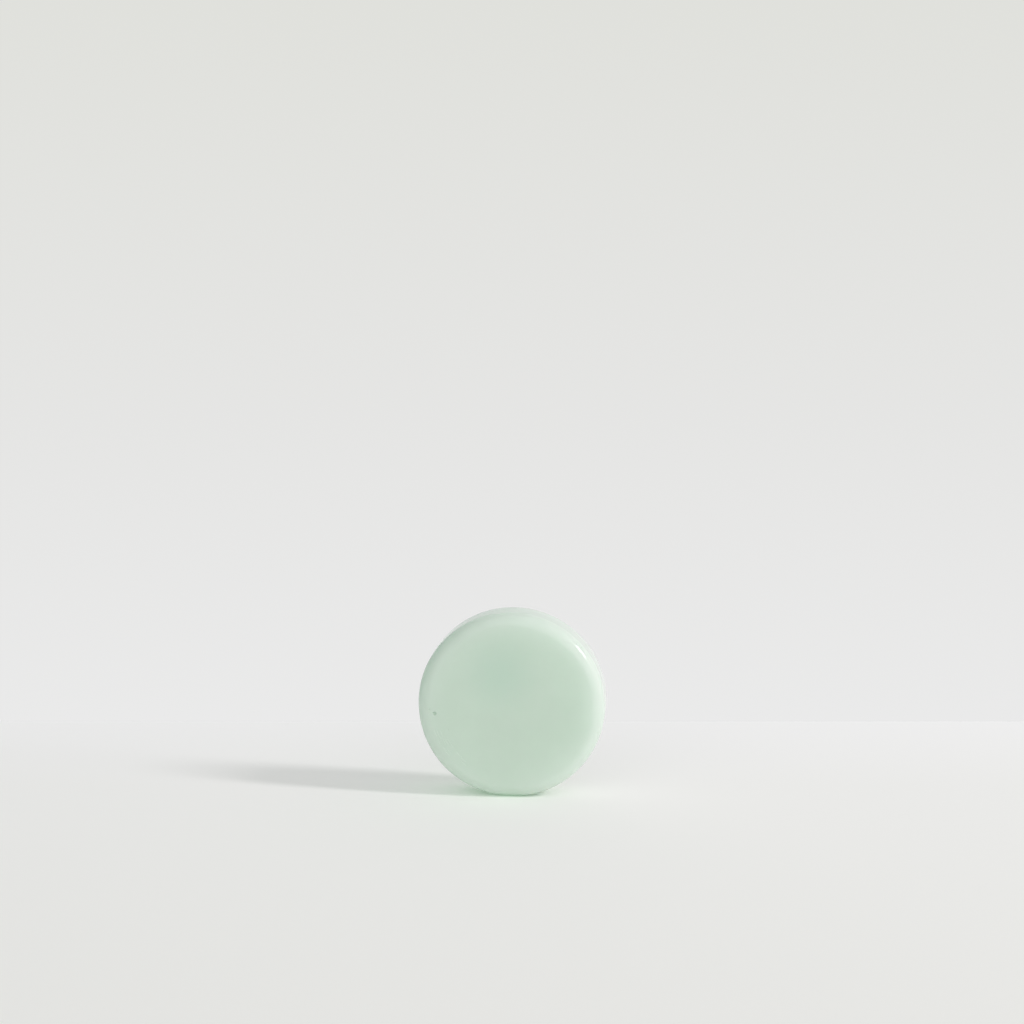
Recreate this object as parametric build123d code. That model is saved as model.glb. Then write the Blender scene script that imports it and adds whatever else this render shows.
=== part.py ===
from build123d import *

import math
import os

# A cake of shaving soap, cast in one pour, standing on its rim.
# X runs across the cake, Y along its axis from the front face to the back face, and Z up.
# The origin is on the surface that the cake stands on, under its middle.

# Driving dimensions, in millimetres.
puck_diameter = 68.0       # across the round rim
puck_thickness = 19.0      # from the front face to the back face
edge_radius = 4.5          # rounding where each face turns into the rim
foot_width = 9.0           # chord of the flat that the cake stands on
foot_blend_radius = 12.0   # rounding where that flat runs into the round rim
bubble_radius = 0.6        # air bubble that broke open at the front face
bubble_inset = 1.7         # from the bubble to where the front face starts to round over
bubble_angle = 186.0       # degrees from +X towards +Z, around the cake's axis

# Sizes that follow from them.
puck_radius = puck_diameter / 2
face_radius = puck_radius - edge_radius
axis_height = math.sqrt(puck_radius**2 - (foot_width / 2) ** 2)


def rim_outline():
    """The cake seen along its axis: a circle cut by the chord that it stands on."""
    foot_right = (foot_width / 2, 0)
    foot_left = (-foot_width / 2, 0)
    top = (0, axis_height + puck_radius)
    with BuildSketch(Plane.XZ) as outline:
        with BuildLine():
            ThreePointArc(foot_right, top, foot_left)
            Line(foot_left, foot_right)
        make_face()
        fillet(outline.vertices(), radius=foot_blend_radius)
    return outline.sketch


def bubble_centre():
    """The middle of the open bubble, on the plane of the front face."""
    from_axis = face_radius - bubble_inset
    turn = math.radians(bubble_angle)
    return (
        from_axis * math.cos(turn),
        -puck_thickness / 2,
        axis_height + from_axis * math.sin(turn),
    )


def soap_puck():
    """The whole cake, with both edges rounded over and the bubble open in its front face."""
    with BuildPart() as cake:
        extrude(rim_outline(), amount=puck_thickness / 2, both=True)
        fillet(cake.faces().filter_by(Axis.Y).edges(), radius=edge_radius)
        with Locations(bubble_centre()):
            Sphere(bubble_radius, mode=Mode.SUBTRACT)
    cake.part.label = "soap_puck"
    return cake.part


os.makedirs("parts", exist_ok=True)
export_step(soap_puck(), "parts/soap_puck.step")
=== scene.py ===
import math
import random
from collections import namedtuple

import bmesh
import bpy
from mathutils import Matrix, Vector, noise


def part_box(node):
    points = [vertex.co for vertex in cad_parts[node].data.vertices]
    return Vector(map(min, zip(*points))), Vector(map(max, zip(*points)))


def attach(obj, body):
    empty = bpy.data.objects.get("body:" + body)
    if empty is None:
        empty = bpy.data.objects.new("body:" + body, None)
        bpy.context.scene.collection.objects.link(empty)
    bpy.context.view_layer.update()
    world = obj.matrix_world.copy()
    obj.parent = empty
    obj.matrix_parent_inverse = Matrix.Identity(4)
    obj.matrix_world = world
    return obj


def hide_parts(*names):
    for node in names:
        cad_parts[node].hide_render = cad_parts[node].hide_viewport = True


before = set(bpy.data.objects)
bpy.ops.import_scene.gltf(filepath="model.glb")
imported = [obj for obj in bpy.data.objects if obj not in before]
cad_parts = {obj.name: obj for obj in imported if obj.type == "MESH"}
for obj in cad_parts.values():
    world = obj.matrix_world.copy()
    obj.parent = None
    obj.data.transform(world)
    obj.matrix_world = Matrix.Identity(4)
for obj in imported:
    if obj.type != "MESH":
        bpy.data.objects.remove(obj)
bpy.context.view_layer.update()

MM = 0.001

# ---------------------------------------------------------------- the cake's sizes, in metres

node_low, node_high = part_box("soap_puck")
RIM_RADIUS = (node_high[0] - node_low[0]) / 2
HALF_THICKNESS = (node_high[1] - node_low[1]) / 2
AXIS_HEIGHT = node_high[2] - RIM_RADIUS
EDGE_RADIUS = 4.5 * MM    # the same rounding as on the CAD part
FACE_RADIUS = RIM_RADIUS - EDGE_RADIUS

# ---------------------------------------------------------------- the cake's surface

SEGMENTS = 384            # steps round the rim
FACE_RINGS = 56           # steps from the middle of a face to where it rounds over
EDGE_STEPS = 14           # steps round the quarter circle of an edge
WALL_STEPS = 20           # steps across the rim between the two edges
FOOT_SOFTNESS = 0.14 * MM # how much the foot's two corners are rounded off
FOOT_STEEPNESS = 0.5      # the foot is only met where a direction drops at least this much per length

# The slight unevenness of a cast and handled surface: how far apart its swells are, and how far
# they stand out. The shift keeps the two kinds from rising together. Both fade out below the last
# height, so that the foot stays flat on the table.
BROAD_SWELL_SIZE = 19 * MM
BROAD_SWELL_HEIGHT = 0.09 * MM
CLOSE_SWELL_SIZE = 6.5 * MM
CLOSE_SWELL_HEIGHT = 0.022 * MM
CLOSE_SWELL_SHIFT = Vector((7.3, 1.9, 4.4))
FULL_SWELL_ABOVE = 4 * MM

# Open air bubbles and nicks in the front. The turn is in degrees round the axis, from +X towards
# +Z. The inset is from the start of the edge rounding, and negative out on the rounding.
Pit = namedtuple("Pit", "turn inset radius depth")
PITS = (
    Pit(turn=186.0, inset=1.7 * MM, radius=0.66 * MM, depth=0.95 * MM),
    Pit(turn=182.8, inset=-0.2 * MM, radius=0.34 * MM, depth=0.20 * MM),
    Pit(turn=201.0, inset=5.0 * MM, radius=0.30 * MM, depth=0.16 * MM),
    Pit(turn=44.5, inset=-3.6 * MM, radius=0.26 * MM, depth=0.22 * MM),
    Pit(turn=41.0, inset=-3.9 * MM, radius=0.24 * MM, depth=0.18 * MM),
)

# The patch round a pit that gets more points: this many of its radii and a margin, with each edge
# of the mesh cut this often.
PATCH_RADII = 2.2
PATCH_MARGIN = 0.4 * MM
PATCH_CUTS = 4


def smooth_min(a, b, softness):
    """The smaller of two lengths, rounded off where they are nearly equal."""
    closeness = max(softness - abs(a - b), 0) / softness
    return min(a, b) - closeness**2 * softness / 4


def rim_distance(turn, inset):
    """From the axis to the outline drawn in by inset: a circle cut by the flat it stands on."""
    circle = RIM_RADIUS - inset
    down = -math.sin(turn)
    if down < FOOT_STEEPNESS:
        return circle
    return smooth_min(circle, (AXIS_HEIGHT - inset) / down, FOOT_SOFTNESS)


def section_rows():
    """(share of the face, inset, depth along Y) for each ring of points, front to back."""
    face = [(step / FACE_RINGS, EDGE_RADIUS, -HALF_THICKNESS) for step in range(1, FACE_RINGS)]
    edge = []
    for step in range(EDGE_STEPS + 1):
        lean = math.pi / 2 * step / EDGE_STEPS
        inset = EDGE_RADIUS * (1 - math.sin(lean))
        depth = -HALF_THICKNESS + EDGE_RADIUS * (1 - math.cos(lean))
        edge.append((1.0, inset, depth))
    half_wall = HALF_THICKNESS - EDGE_RADIUS
    wall = [
        (1.0, 0.0, half_wall * (2 * step / WALL_STEPS - 1))
        for step in range(1, WALL_STEPS)
    ]
    front = face + edge
    back = [(share, inset, -depth) for share, inset, depth in reversed(front)]
    return front + wall + back


def add_ring(bm, share, inset, depth):
    """One ring of points round the axis."""
    ring = []
    for segment in range(SEGMENTS):
        turn = 2 * math.pi * segment / SEGMENTS
        distance = share * rim_distance(turn, inset)
        ring.append(bm.verts.new((
            distance * math.cos(turn),
            depth,
            AXIS_HEIGHT + distance * math.sin(turn),
        )))
    return ring


def join_rings(bm, first, second):
    """A band of squares between two rings."""
    for segment in range(SEGMENTS):
        after = (segment + 1) % SEGMENTS
        bm.faces.new((first[segment], first[after], second[after], second[segment]))


def close_face(bm, ring, depth):
    """A fan of triangles from the ring to the middle of the face."""
    middle = bm.verts.new((0, depth, AXIS_HEIGHT))
    for segment in range(SEGMENTS):
        after = (segment + 1) % SEGMENTS
        bm.faces.new((ring[segment], ring[after], middle))


def front_place(turn, inset):
    """A place on the front face, or on its rounded edge when inset is negative."""
    distance = FACE_RADIUS - inset
    over_the_edge = max(-inset, 0)
    depth = EDGE_RADIUS - math.sqrt(EDGE_RADIUS**2 - over_the_edge**2)
    return Vector((
        distance * math.cos(turn),
        depth - HALF_THICKNESS,
        AXIS_HEIGHT + distance * math.sin(turn),
    ))


def pit_place(pit):
    return front_place(math.radians(pit.turn), pit.inset)


def refine_round_pits(bm):
    """More points where a pit is cut, so that its wall is round."""
    for pit in PITS:
        place = pit_place(pit)
        reach = PATCH_RADII * pit.radius + PATCH_MARGIN
        patch = [
            edge for edge in bm.edges
            if all((vert.co - place).length < reach for vert in edge.verts)
        ]
        bmesh.ops.subdivide_edges(bm, edges=patch, cuts=PATCH_CUTS, use_grid_fill=True)


def pit_depth(point):
    """How far a point of the surface is sunk by the pits."""
    sink = 0.0
    for pit in PITS:
        away = (point - pit_place(pit)).length / pit.radius
        if away < 1:
            sink += pit.depth * math.sqrt(1 - away**2)
    return sink


def hand_cast_swell(point):
    """How far the unevenness moves a point outward."""
    broad = noise.noise(point / BROAD_SWELL_SIZE) * BROAD_SWELL_HEIGHT
    close = noise.noise(point / CLOSE_SWELL_SIZE + CLOSE_SWELL_SHIFT) * CLOSE_SWELL_HEIGHT
    return broad + close


def shape_surface(bm):
    """Moves each point along the surface's normal, by the swell and the pits."""
    bm.normal_update()
    moves = []
    for vert in bm.verts:
        clear_of_foot = min(max(vert.co.z / FULL_SWELL_ABOVE, 0), 1)
        outward = hand_cast_swell(vert.co) * clear_of_foot - pit_depth(vert.co)
        moves.append((vert, vert.normal * outward))
    for vert, move in moves:
        vert.co += move


def new_object(name, bm):
    """An object of the scene with the shape that was built."""
    mesh = bpy.data.meshes.new(name)
    bm.to_mesh(mesh)
    bm.free()
    thing = bpy.data.objects.new(name, mesh)
    bpy.context.collection.objects.link(thing)
    return thing


def cast_soap():
    """The whole cake as one closed mesh."""
    bm = bmesh.new()
    rings = [add_ring(bm, *row) for row in section_rows()]
    for first, second in zip(rings, rings[1:]):
        join_rings(bm, first, second)
    close_face(bm, rings[0], -HALF_THICKNESS)
    close_face(bm, rings[-1], HALF_THICKNESS)
    bmesh.ops.recalc_face_normals(bm, faces=bm.faces)
    refine_round_pits(bm)
    shape_surface(bm)
    cake = new_object("cast_soap", bm)
    cake.data.shade_smooth()
    return cake


# ---------------------------------------------------------------- scuffs in the front face

SCUFF_SEED = 4
SCUFF_STEPS = 8
SCUFF_HEIGHT = 0.07 * MM
SCUFF_ROOT = 0.12 * MM    # how far a scuff's lower side lies inside the soap
SCUFF_TIP = 0.1           # how wide a scuff's ends are, as a share of its middle

# The least and the most of what differs from scuff to scuff.
SCUFF_LENGTH = (1.0 * MM, 4.2 * MM)
SCUFF_DRIFT = (-0.4 * MM, 0.4 * MM)
SCUFF_HALF_WIDTH = (0.07 * MM, 0.15 * MM)

# Where they are: turns in degrees, insets from the start of the edge rounding, and how many.
ScuffPatch = namedtuple("ScuffPatch", "first_turn last_turn nearest farthest count")
SCUFF_PATCHES = (
    ScuffPatch(first_turn=197, last_turn=229, nearest=0.0, farthest=3.8 * MM, count=20),
    ScuffPatch(first_turn=120, last_turn=138, nearest=-1.0 * MM, farthest=3.0 * MM, count=7),
)


def scuff_section(turn, inset, half_width):
    """Three points across a raised sliver: its crest and the two sides that lie in the soap."""
    points = []
    for aside, rise in ((0, SCUFF_HEIGHT), (half_width, -SCUFF_ROOT), (-half_width, -SCUFF_ROOT)):
        place = front_place(turn, inset + aside)
        place.y -= hand_cast_swell(place) + rise
        points.append(place)
    return points


def add_scuff(bm, first_turn, last_turn, first_inset, last_inset, half_width):
    """One sliver, widest in the middle, from one turn and inset to another."""
    sections = []
    for step in range(SCUFF_STEPS + 1):
        along = step / SCUFF_STEPS
        turn = first_turn + (last_turn - first_turn) * along
        inset = first_inset + (last_inset - first_inset) * along
        fullness = SCUFF_TIP + (1 - SCUFF_TIP) * math.sin(math.pi * along)
        points = scuff_section(turn, inset, half_width * fullness)
        sections.append([bm.verts.new(point) for point in points])
    for first, second in zip(sections, sections[1:]):
        for corner in range(3):
            after = (corner + 1) % 3
            bm.faces.new((first[corner], first[after], second[after], second[corner]))
    bm.faces.new(reversed(sections[0]))
    bm.faces.new(sections[-1])


def scuffs():
    """Short raised slivers along the rim, where the face has been rubbed."""
    chance = random.Random(SCUFF_SEED)
    bm = bmesh.new()
    for patch in SCUFF_PATCHES:
        for scuff in range(patch.count):
            turn = math.radians(chance.uniform(patch.first_turn, patch.last_turn))
            inset = chance.uniform(patch.nearest, patch.farthest)
            length = chance.uniform(*SCUFF_LENGTH)
            drift = chance.uniform(*SCUFF_DRIFT)
            half_width = chance.uniform(*SCUFF_HALF_WIDTH)
            add_scuff(bm, turn, turn + length / FACE_RADIUS, inset, inset + drift, half_width)
    bmesh.ops.recalc_face_normals(bm, faces=bm.faces)
    return new_object("scuffs", bm)


# ---------------------------------------------------------------- help with shader nodes

def feed(tree, socket, value):
    """Links a socket to another one, or sets it to a plain value."""
    if isinstance(value, bpy.types.NodeSocket):
        tree.links.new(value, socket)
    else:
        socket.default_value = value


def calculate(tree, operation, *values):
    """A Math node's result."""
    node = tree.nodes.new("ShaderNodeMath")
    node.operation = operation
    for socket, value in zip(node.inputs, values):
        feed(tree, socket, value)
    return node.outputs["Value"]


def vector_maths(tree, operation, *values):
    """A Vector Math node, which the caller takes the vector or the number from."""
    node = tree.nodes.new("ShaderNodeVectorMath")
    node.operation = operation
    for socket, value in zip(node.inputs, values):
        feed(tree, socket, value)
    return node


def dot_product(tree, vector, direction):
    return vector_maths(tree, "DOT_PRODUCT", vector, direction).outputs["Value"]


def map_range(tree, value, low, high, interpolation="LINEAR"):
    """0 at low, 1 at high, and no further."""
    node = tree.nodes.new("ShaderNodeMapRange")
    node.interpolation_type = interpolation
    node.inputs["From Min"].default_value = low
    node.inputs["From Max"].default_value = high
    tree.links.new(value, node.inputs["Value"])
    return node.outputs["Result"]


def near(tree, place, middle, radius):
    """1 at the middle, fading smoothly to 0 at the radius."""
    gap = vector_maths(tree, "DISTANCE", place, middle).outputs["Value"]
    return map_range(tree, gap, radius, 0.0, "SMOOTHSTEP")


def mixed(tree, share, colour, other):
    """The colour, with a share of the other colour in it."""
    node = tree.nodes.new("ShaderNodeMix")
    node.data_type = "RGBA"
    feed(tree, node.inputs["Factor"], share)
    feed(tree, node.inputs["A"], colour)
    feed(tree, node.inputs["B"], other)
    return node.outputs["Result"]


def sum_of_colours(tree, terms):
    """Each colour times its own brightness socket, added up."""
    total = (0, 0, 0)
    for brightness, colour in terms:
        term = vector_maths(tree, "SCALE", colour)
        tree.links.new(brightness, term.inputs["Scale"])
        total = vector_maths(tree, "ADD", term.outputs["Vector"], total).outputs["Vector"]
    return total


def colour_ramp(tree, value, stops):
    """The colour that the stops, (position, colour) in order, give for a value from 0 to 1."""
    ramp = tree.nodes.new("ShaderNodeValToRGB")
    elements = ramp.color_ramp.elements
    while len(elements) < len(stops):
        elements.new(0.5)
    for element, (position, colour) in zip(elements, stops):
        element.position = position
        element.color = (*colour, 1)
    tree.links.new(value, ramp.inputs["Fac"])
    return ramp.outputs["Color"]


def object_place(tree):
    """Where on its object a point of the surface is."""
    return tree.nodes.new("ShaderNodeTexCoord").outputs["Object"]


def new_material(name):
    """A material, its node tree and its Principled shader."""
    material = bpy.data.materials.new(name)
    material.use_nodes = True
    tree = material.node_tree
    return material, tree, tree.nodes["Principled BSDF"]


# ---------------------------------------------------------------- the soap's materials

# The soap's colour drifts between these, in clouds.
MILKY_SHADES = (
    (0.3, (0.575, 0.675, 0.59)),
    (0.7, (0.60, 0.70, 0.615)),
)
CLOUDS_PER_METRE = 55.0

# Where the face is a little clearer and so looks deeper in colour.
CLEARER_PLACE = Vector((-4 * MM, -HALF_THICKNESS, AXIS_HEIGHT + 12 * MM))
CLEARER_RADIUS = 18 * MM
CLEARER_COLOUR = (0.545, 0.67, 0.58, 1)

RUBBED_COLOUR = (0.70, 0.79, 0.71, 1)


def soap_material():
    """Milky, translucent mint soap with a waxy gloss."""
    material, tree, shader = new_material("mint_soap")
    place = object_place(tree)

    clouds = tree.nodes.new("ShaderNodeTexNoise")
    clouds.inputs["Scale"].default_value = CLOUDS_PER_METRE
    clouds.inputs["Detail"].default_value = 4.0
    clouds.inputs["Roughness"].default_value = 0.55
    tree.links.new(place, clouds.inputs["Vector"])
    milky = colour_ramp(tree, clouds.outputs["Fac"], MILKY_SHADES)
    tint = mixed(tree, near(tree, place, CLEARER_PLACE, CLEARER_RADIUS), milky, CLEARER_COLOUR)
    tree.links.new(tint, shader.inputs["Base Color"])

    shader.inputs["Subsurface Weight"].default_value = 0.7
    shader.inputs["Subsurface Radius"].default_value = (0.88, 1.0, 0.92)
    shader.inputs["Subsurface Scale"].default_value = 26 * MM
    shader.inputs["IOR"].default_value = 1.46
    shader.inputs["Specular IOR Level"].default_value = 0.3
    shader.inputs["Roughness"].default_value = 0.11
    return material


def scuff_material():
    """Soap rubbed up into dry, paler slivers."""
    material, tree, shader = new_material("rubbed_soap")
    shader.inputs["Base Color"].default_value = RUBBED_COLOUR
    shader.inputs["Roughness"].default_value = 0.5
    return material


# ---------------------------------------------------------------- the studio

CAMERA_TURN = math.radians(4.6)      # the camera stands a little to the cake's right
CAMERA_DISTANCE = 0.786
CAMERA_HEIGHT = 0.213
CAMERA_PITCH = math.radians(7.93)
CAMERA_AIM = math.radians(0.021)     # it looks past the cake's middle, this much to the left
FOCAL_SHARE = 2200 / 1024            # focal length over the picture's width

# The table, from the cake: to its far edge, to its near edge and to each side. Its colour is
# painted shade, darker towards the camera, and changes from SHADE_NEAR, in front of the cake, to the
# far edge.
TABLE_BACK = 0.1105
TABLE_FRONT = 3.0
TABLE_HALF_WIDTH = 3.0
SHADE_NEAR = -0.30
TABLE_PAINTED_SHADES = (
    (0.0, (0.875, 0.885, 0.85)),
    (0.75, (0.915, 0.925, 0.90)),
    (1.0, (0.955, 0.965, 0.955)),
)

# Painted light: soap passes light on, and so the table is green and not black where the cake stands
# on it. Each glow is painted into the table as emission, as bright as a small lamp would make it: how
# far right and away, how high, and its colour. The first, green and close, is where the cake stands;
# the second, paler and wider, lifts the shade on the table left of and behind the cake.
# GLOW_FALLOFF is the power of the distance that its brightness falls with.
PaintedGlow = namedtuple("PaintedGlow", "right away height colour")
PAINTED_GLOWS = (
    PaintedGlow(right=0, away=0, height=9 * MM, colour=(0.03, 0.12, 0.05)),
    PaintedGlow(right=-12 * MM, away=6 * MM, height=28 * MM, colour=(0.12, 0.14, 0.12)),
)
GLOW_FALLOFF = 3.0

# The window, to the camera's right: one soft box that casts the shadow, and a narrow, dim one under
# it that draws the highlight further down the rim. Sizes are in metres and the power is in watts.
WINDOW_TURN = math.radians(16.4)     # from the camera's right, round towards the camera
WINDOW_DISTANCE = 4.0
WINDOW_COLOUR = (1.0, 0.96, 0.98)
SoftBox = namedtuple("SoftBox", "name rise width height power")
SOFT_BOXES = (
    SoftBox(name="window", rise=math.radians(32.5), width=0.42, height=0.95, power=54.0),
    SoftBox(name="window_foot", rise=math.radians(18), width=0.12, height=1.7, power=6.0),
)

# How bright the air is on each side of the cake, for light that comes straight from there.
# AIR_SPREAD is the power of the cosine that a side's light falls with, away from that side.
AIR_RIGHT = (1.0, 0.86, 0.96)
AIR_LEFT = (0.03, 0.16, 0.09)
AIR_BEHIND_CAMERA = (1.37, 1.37, 1.37)
AIR_FAR_SIDE = (0.85, 0.85, 0.85)
AIR_ABOVE = (0.57, 0.57, 0.57)
AIR_BELOW = (0.60, 0.60, 0.60)
AIR_SPREAD = 2.0

# The wall's painted shade, darker higher up, from WALL_LOW to WALL_HIGH, as the height of a direction
# one long.
WALL_LOW = -0.25
WALL_HIGH = 0.10
WALL_PAINTED_SHADES = (
    (0.0, (0.83, 0.83, 0.83)),
    (0.45, (0.785, 0.785, 0.775)),
    (1.0, (0.745, 0.75, 0.715)),
)


def from_camera_frame(right, away, up):
    """A place given by how far it is to the camera's right, away from it, and up."""
    cosine = math.cos(CAMERA_TURN)
    sine = math.sin(CAMERA_TURN)
    return Vector((cosine * right - sine * away, sine * right + cosine * away, up))


def table():
    """A pale table top, with painted shade that makes it a little less bright towards the camera."""
    corners = [
        from_camera_frame(-TABLE_HALF_WIDTH, -TABLE_FRONT, 0),
        from_camera_frame(TABLE_HALF_WIDTH, -TABLE_FRONT, 0),
        from_camera_frame(TABLE_HALF_WIDTH, TABLE_BACK, 0),
        from_camera_frame(-TABLE_HALF_WIDTH, TABLE_BACK, 0),
    ]
    mesh = bpy.data.meshes.new("table_top")
    mesh.from_pydata(corners, [], [(0, 1, 2, 3)])
    mesh.materials.append(table_material())
    top = bpy.data.objects.new("table_top", mesh)
    bpy.context.collection.objects.link(top)


def table_material():
    """A smooth, matt, pale top, with painted shade towards the camera and painted light, as emission,
    where the soap passes light on.
    """
    material, tree, shader = new_material("pale_table")
    place = object_place(tree)
    away = dot_product(tree, place, from_camera_frame(0, 1, 0))
    # Painted shade: the table's colour darkens from the far edge towards the camera.
    depth = map_range(tree, away, SHADE_NEAR, TABLE_BACK)
    tree.links.new(colour_ramp(tree, depth, TABLE_PAINTED_SHADES), shader.inputs["Base Color"])
    shader.inputs["Roughness"].default_value = 0.8
    shader.inputs["Specular IOR Level"].default_value = 0.2
    # Painted light: the glows are emission in the table's own material.
    tree.links.new(painted_glow_through_soap(tree, place), shader.inputs["Emission Color"])
    shader.inputs["Emission Strength"].default_value = 1.0
    return material


def painted_glow_through_soap(tree, place):
    """The painted light of the glows at a place on the table, added up."""
    terms = []
    for glow in PAINTED_GLOWS:
        lamp = from_camera_frame(glow.right, glow.away, glow.height)
        gap = vector_maths(tree, "DISTANCE", place, lamp).outputs["Value"]
        nearness = calculate(tree, "DIVIDE", glow.height, gap)
        terms.append((calculate(tree, "POWER", nearness, GLOW_FALLOFF), glow.colour))
    return sum_of_colours(tree, terms)


def studio_air():
    """Soft light, more from some sides than from others, in front of a pale wall with painted shade,
    darker higher up.
    """
    world = bpy.data.worlds.new("studio")
    world.use_nodes = True
    tree = world.node_tree
    direction = tree.nodes.new("ShaderNodeTexCoord").outputs["Generated"]
    right = from_camera_frame(1, 0, 0)
    away = from_camera_frame(0, 1, 0)
    up = Vector((0, 0, 1))
    sides = (
        (right, AIR_RIGHT), (-right, AIR_LEFT),
        (away, AIR_FAR_SIDE), (-away, AIR_BEHIND_CAMERA),
        (up, AIR_ABOVE), (-up, AIR_BELOW),
    )
    terms = []
    for side, colour in sides:
        facing = calculate(tree, "MAXIMUM", dot_product(tree, direction, side), 0.0)
        terms.append((calculate(tree, "POWER", facing, AIR_SPREAD), colour))
    light = sum_of_colours(tree, terms)

    height = map_range(tree, dot_product(tree, direction, up), WALL_LOW, WALL_HIGH)
    # Painted shade: the wall seen directly is darker higher up.
    wall = colour_ramp(tree, height, WALL_PAINTED_SHADES)
    seen_directly = tree.nodes.new("ShaderNodeLightPath").outputs["Is Camera Ray"]
    air = mixed(tree, seen_directly, light, wall)
    tree.links.new(air, tree.nodes["Background"].inputs["Color"])
    bpy.context.scene.world = world


def soft_box(box):
    """A part of the window, facing the cake."""
    direction = from_camera_frame(
        math.cos(box.rise) * math.cos(WINDOW_TURN),
        -math.cos(box.rise) * math.sin(WINDOW_TURN),
        math.sin(box.rise),
    )
    light = bpy.data.lights.new(box.name, "AREA")
    light.shape = "RECTANGLE"
    light.size = box.width
    light.size_y = box.height
    light.energy = box.power
    light.color = WINDOW_COLOUR
    lamp = bpy.data.objects.new(box.name, light)
    lamp.location = direction * WINDOW_DISTANCE
    lamp.rotation_euler = direction.to_track_quat("Z", "Y").to_euler()
    bpy.context.collection.objects.link(lamp)


def camera():
    """The camera, a little above the cake and nearly straight in front of it."""
    data = bpy.data.cameras.new("camera")
    data.sensor_width = 36.0
    data.lens = data.sensor_width * FOCAL_SHARE
    data.clip_start = 0.01
    data.clip_end = 20.0
    eye = bpy.data.objects.new("camera", data)
    eye.location = from_camera_frame(0, -CAMERA_DISTANCE, CAMERA_HEIGHT)
    eye.rotation_euler = (math.pi / 2 - CAMERA_PITCH, 0, CAMERA_TURN + CAMERA_AIM)
    bpy.context.collection.objects.link(eye)
    bpy.context.scene.camera = eye


# ---------------------------------------------------------------- the scene

cake = cast_soap()
cake.data.materials.append(soap_material())
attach(cake, "root")
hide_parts("soap_puck")

slivers = scuffs()
slivers.data.materials.append(scuff_material())
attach(slivers, "root")

table()
studio_air()
for box in SOFT_BOXES:
    soft_box(box)
camera()
bpy.context.scene.view_settings.view_transform = "Standard"
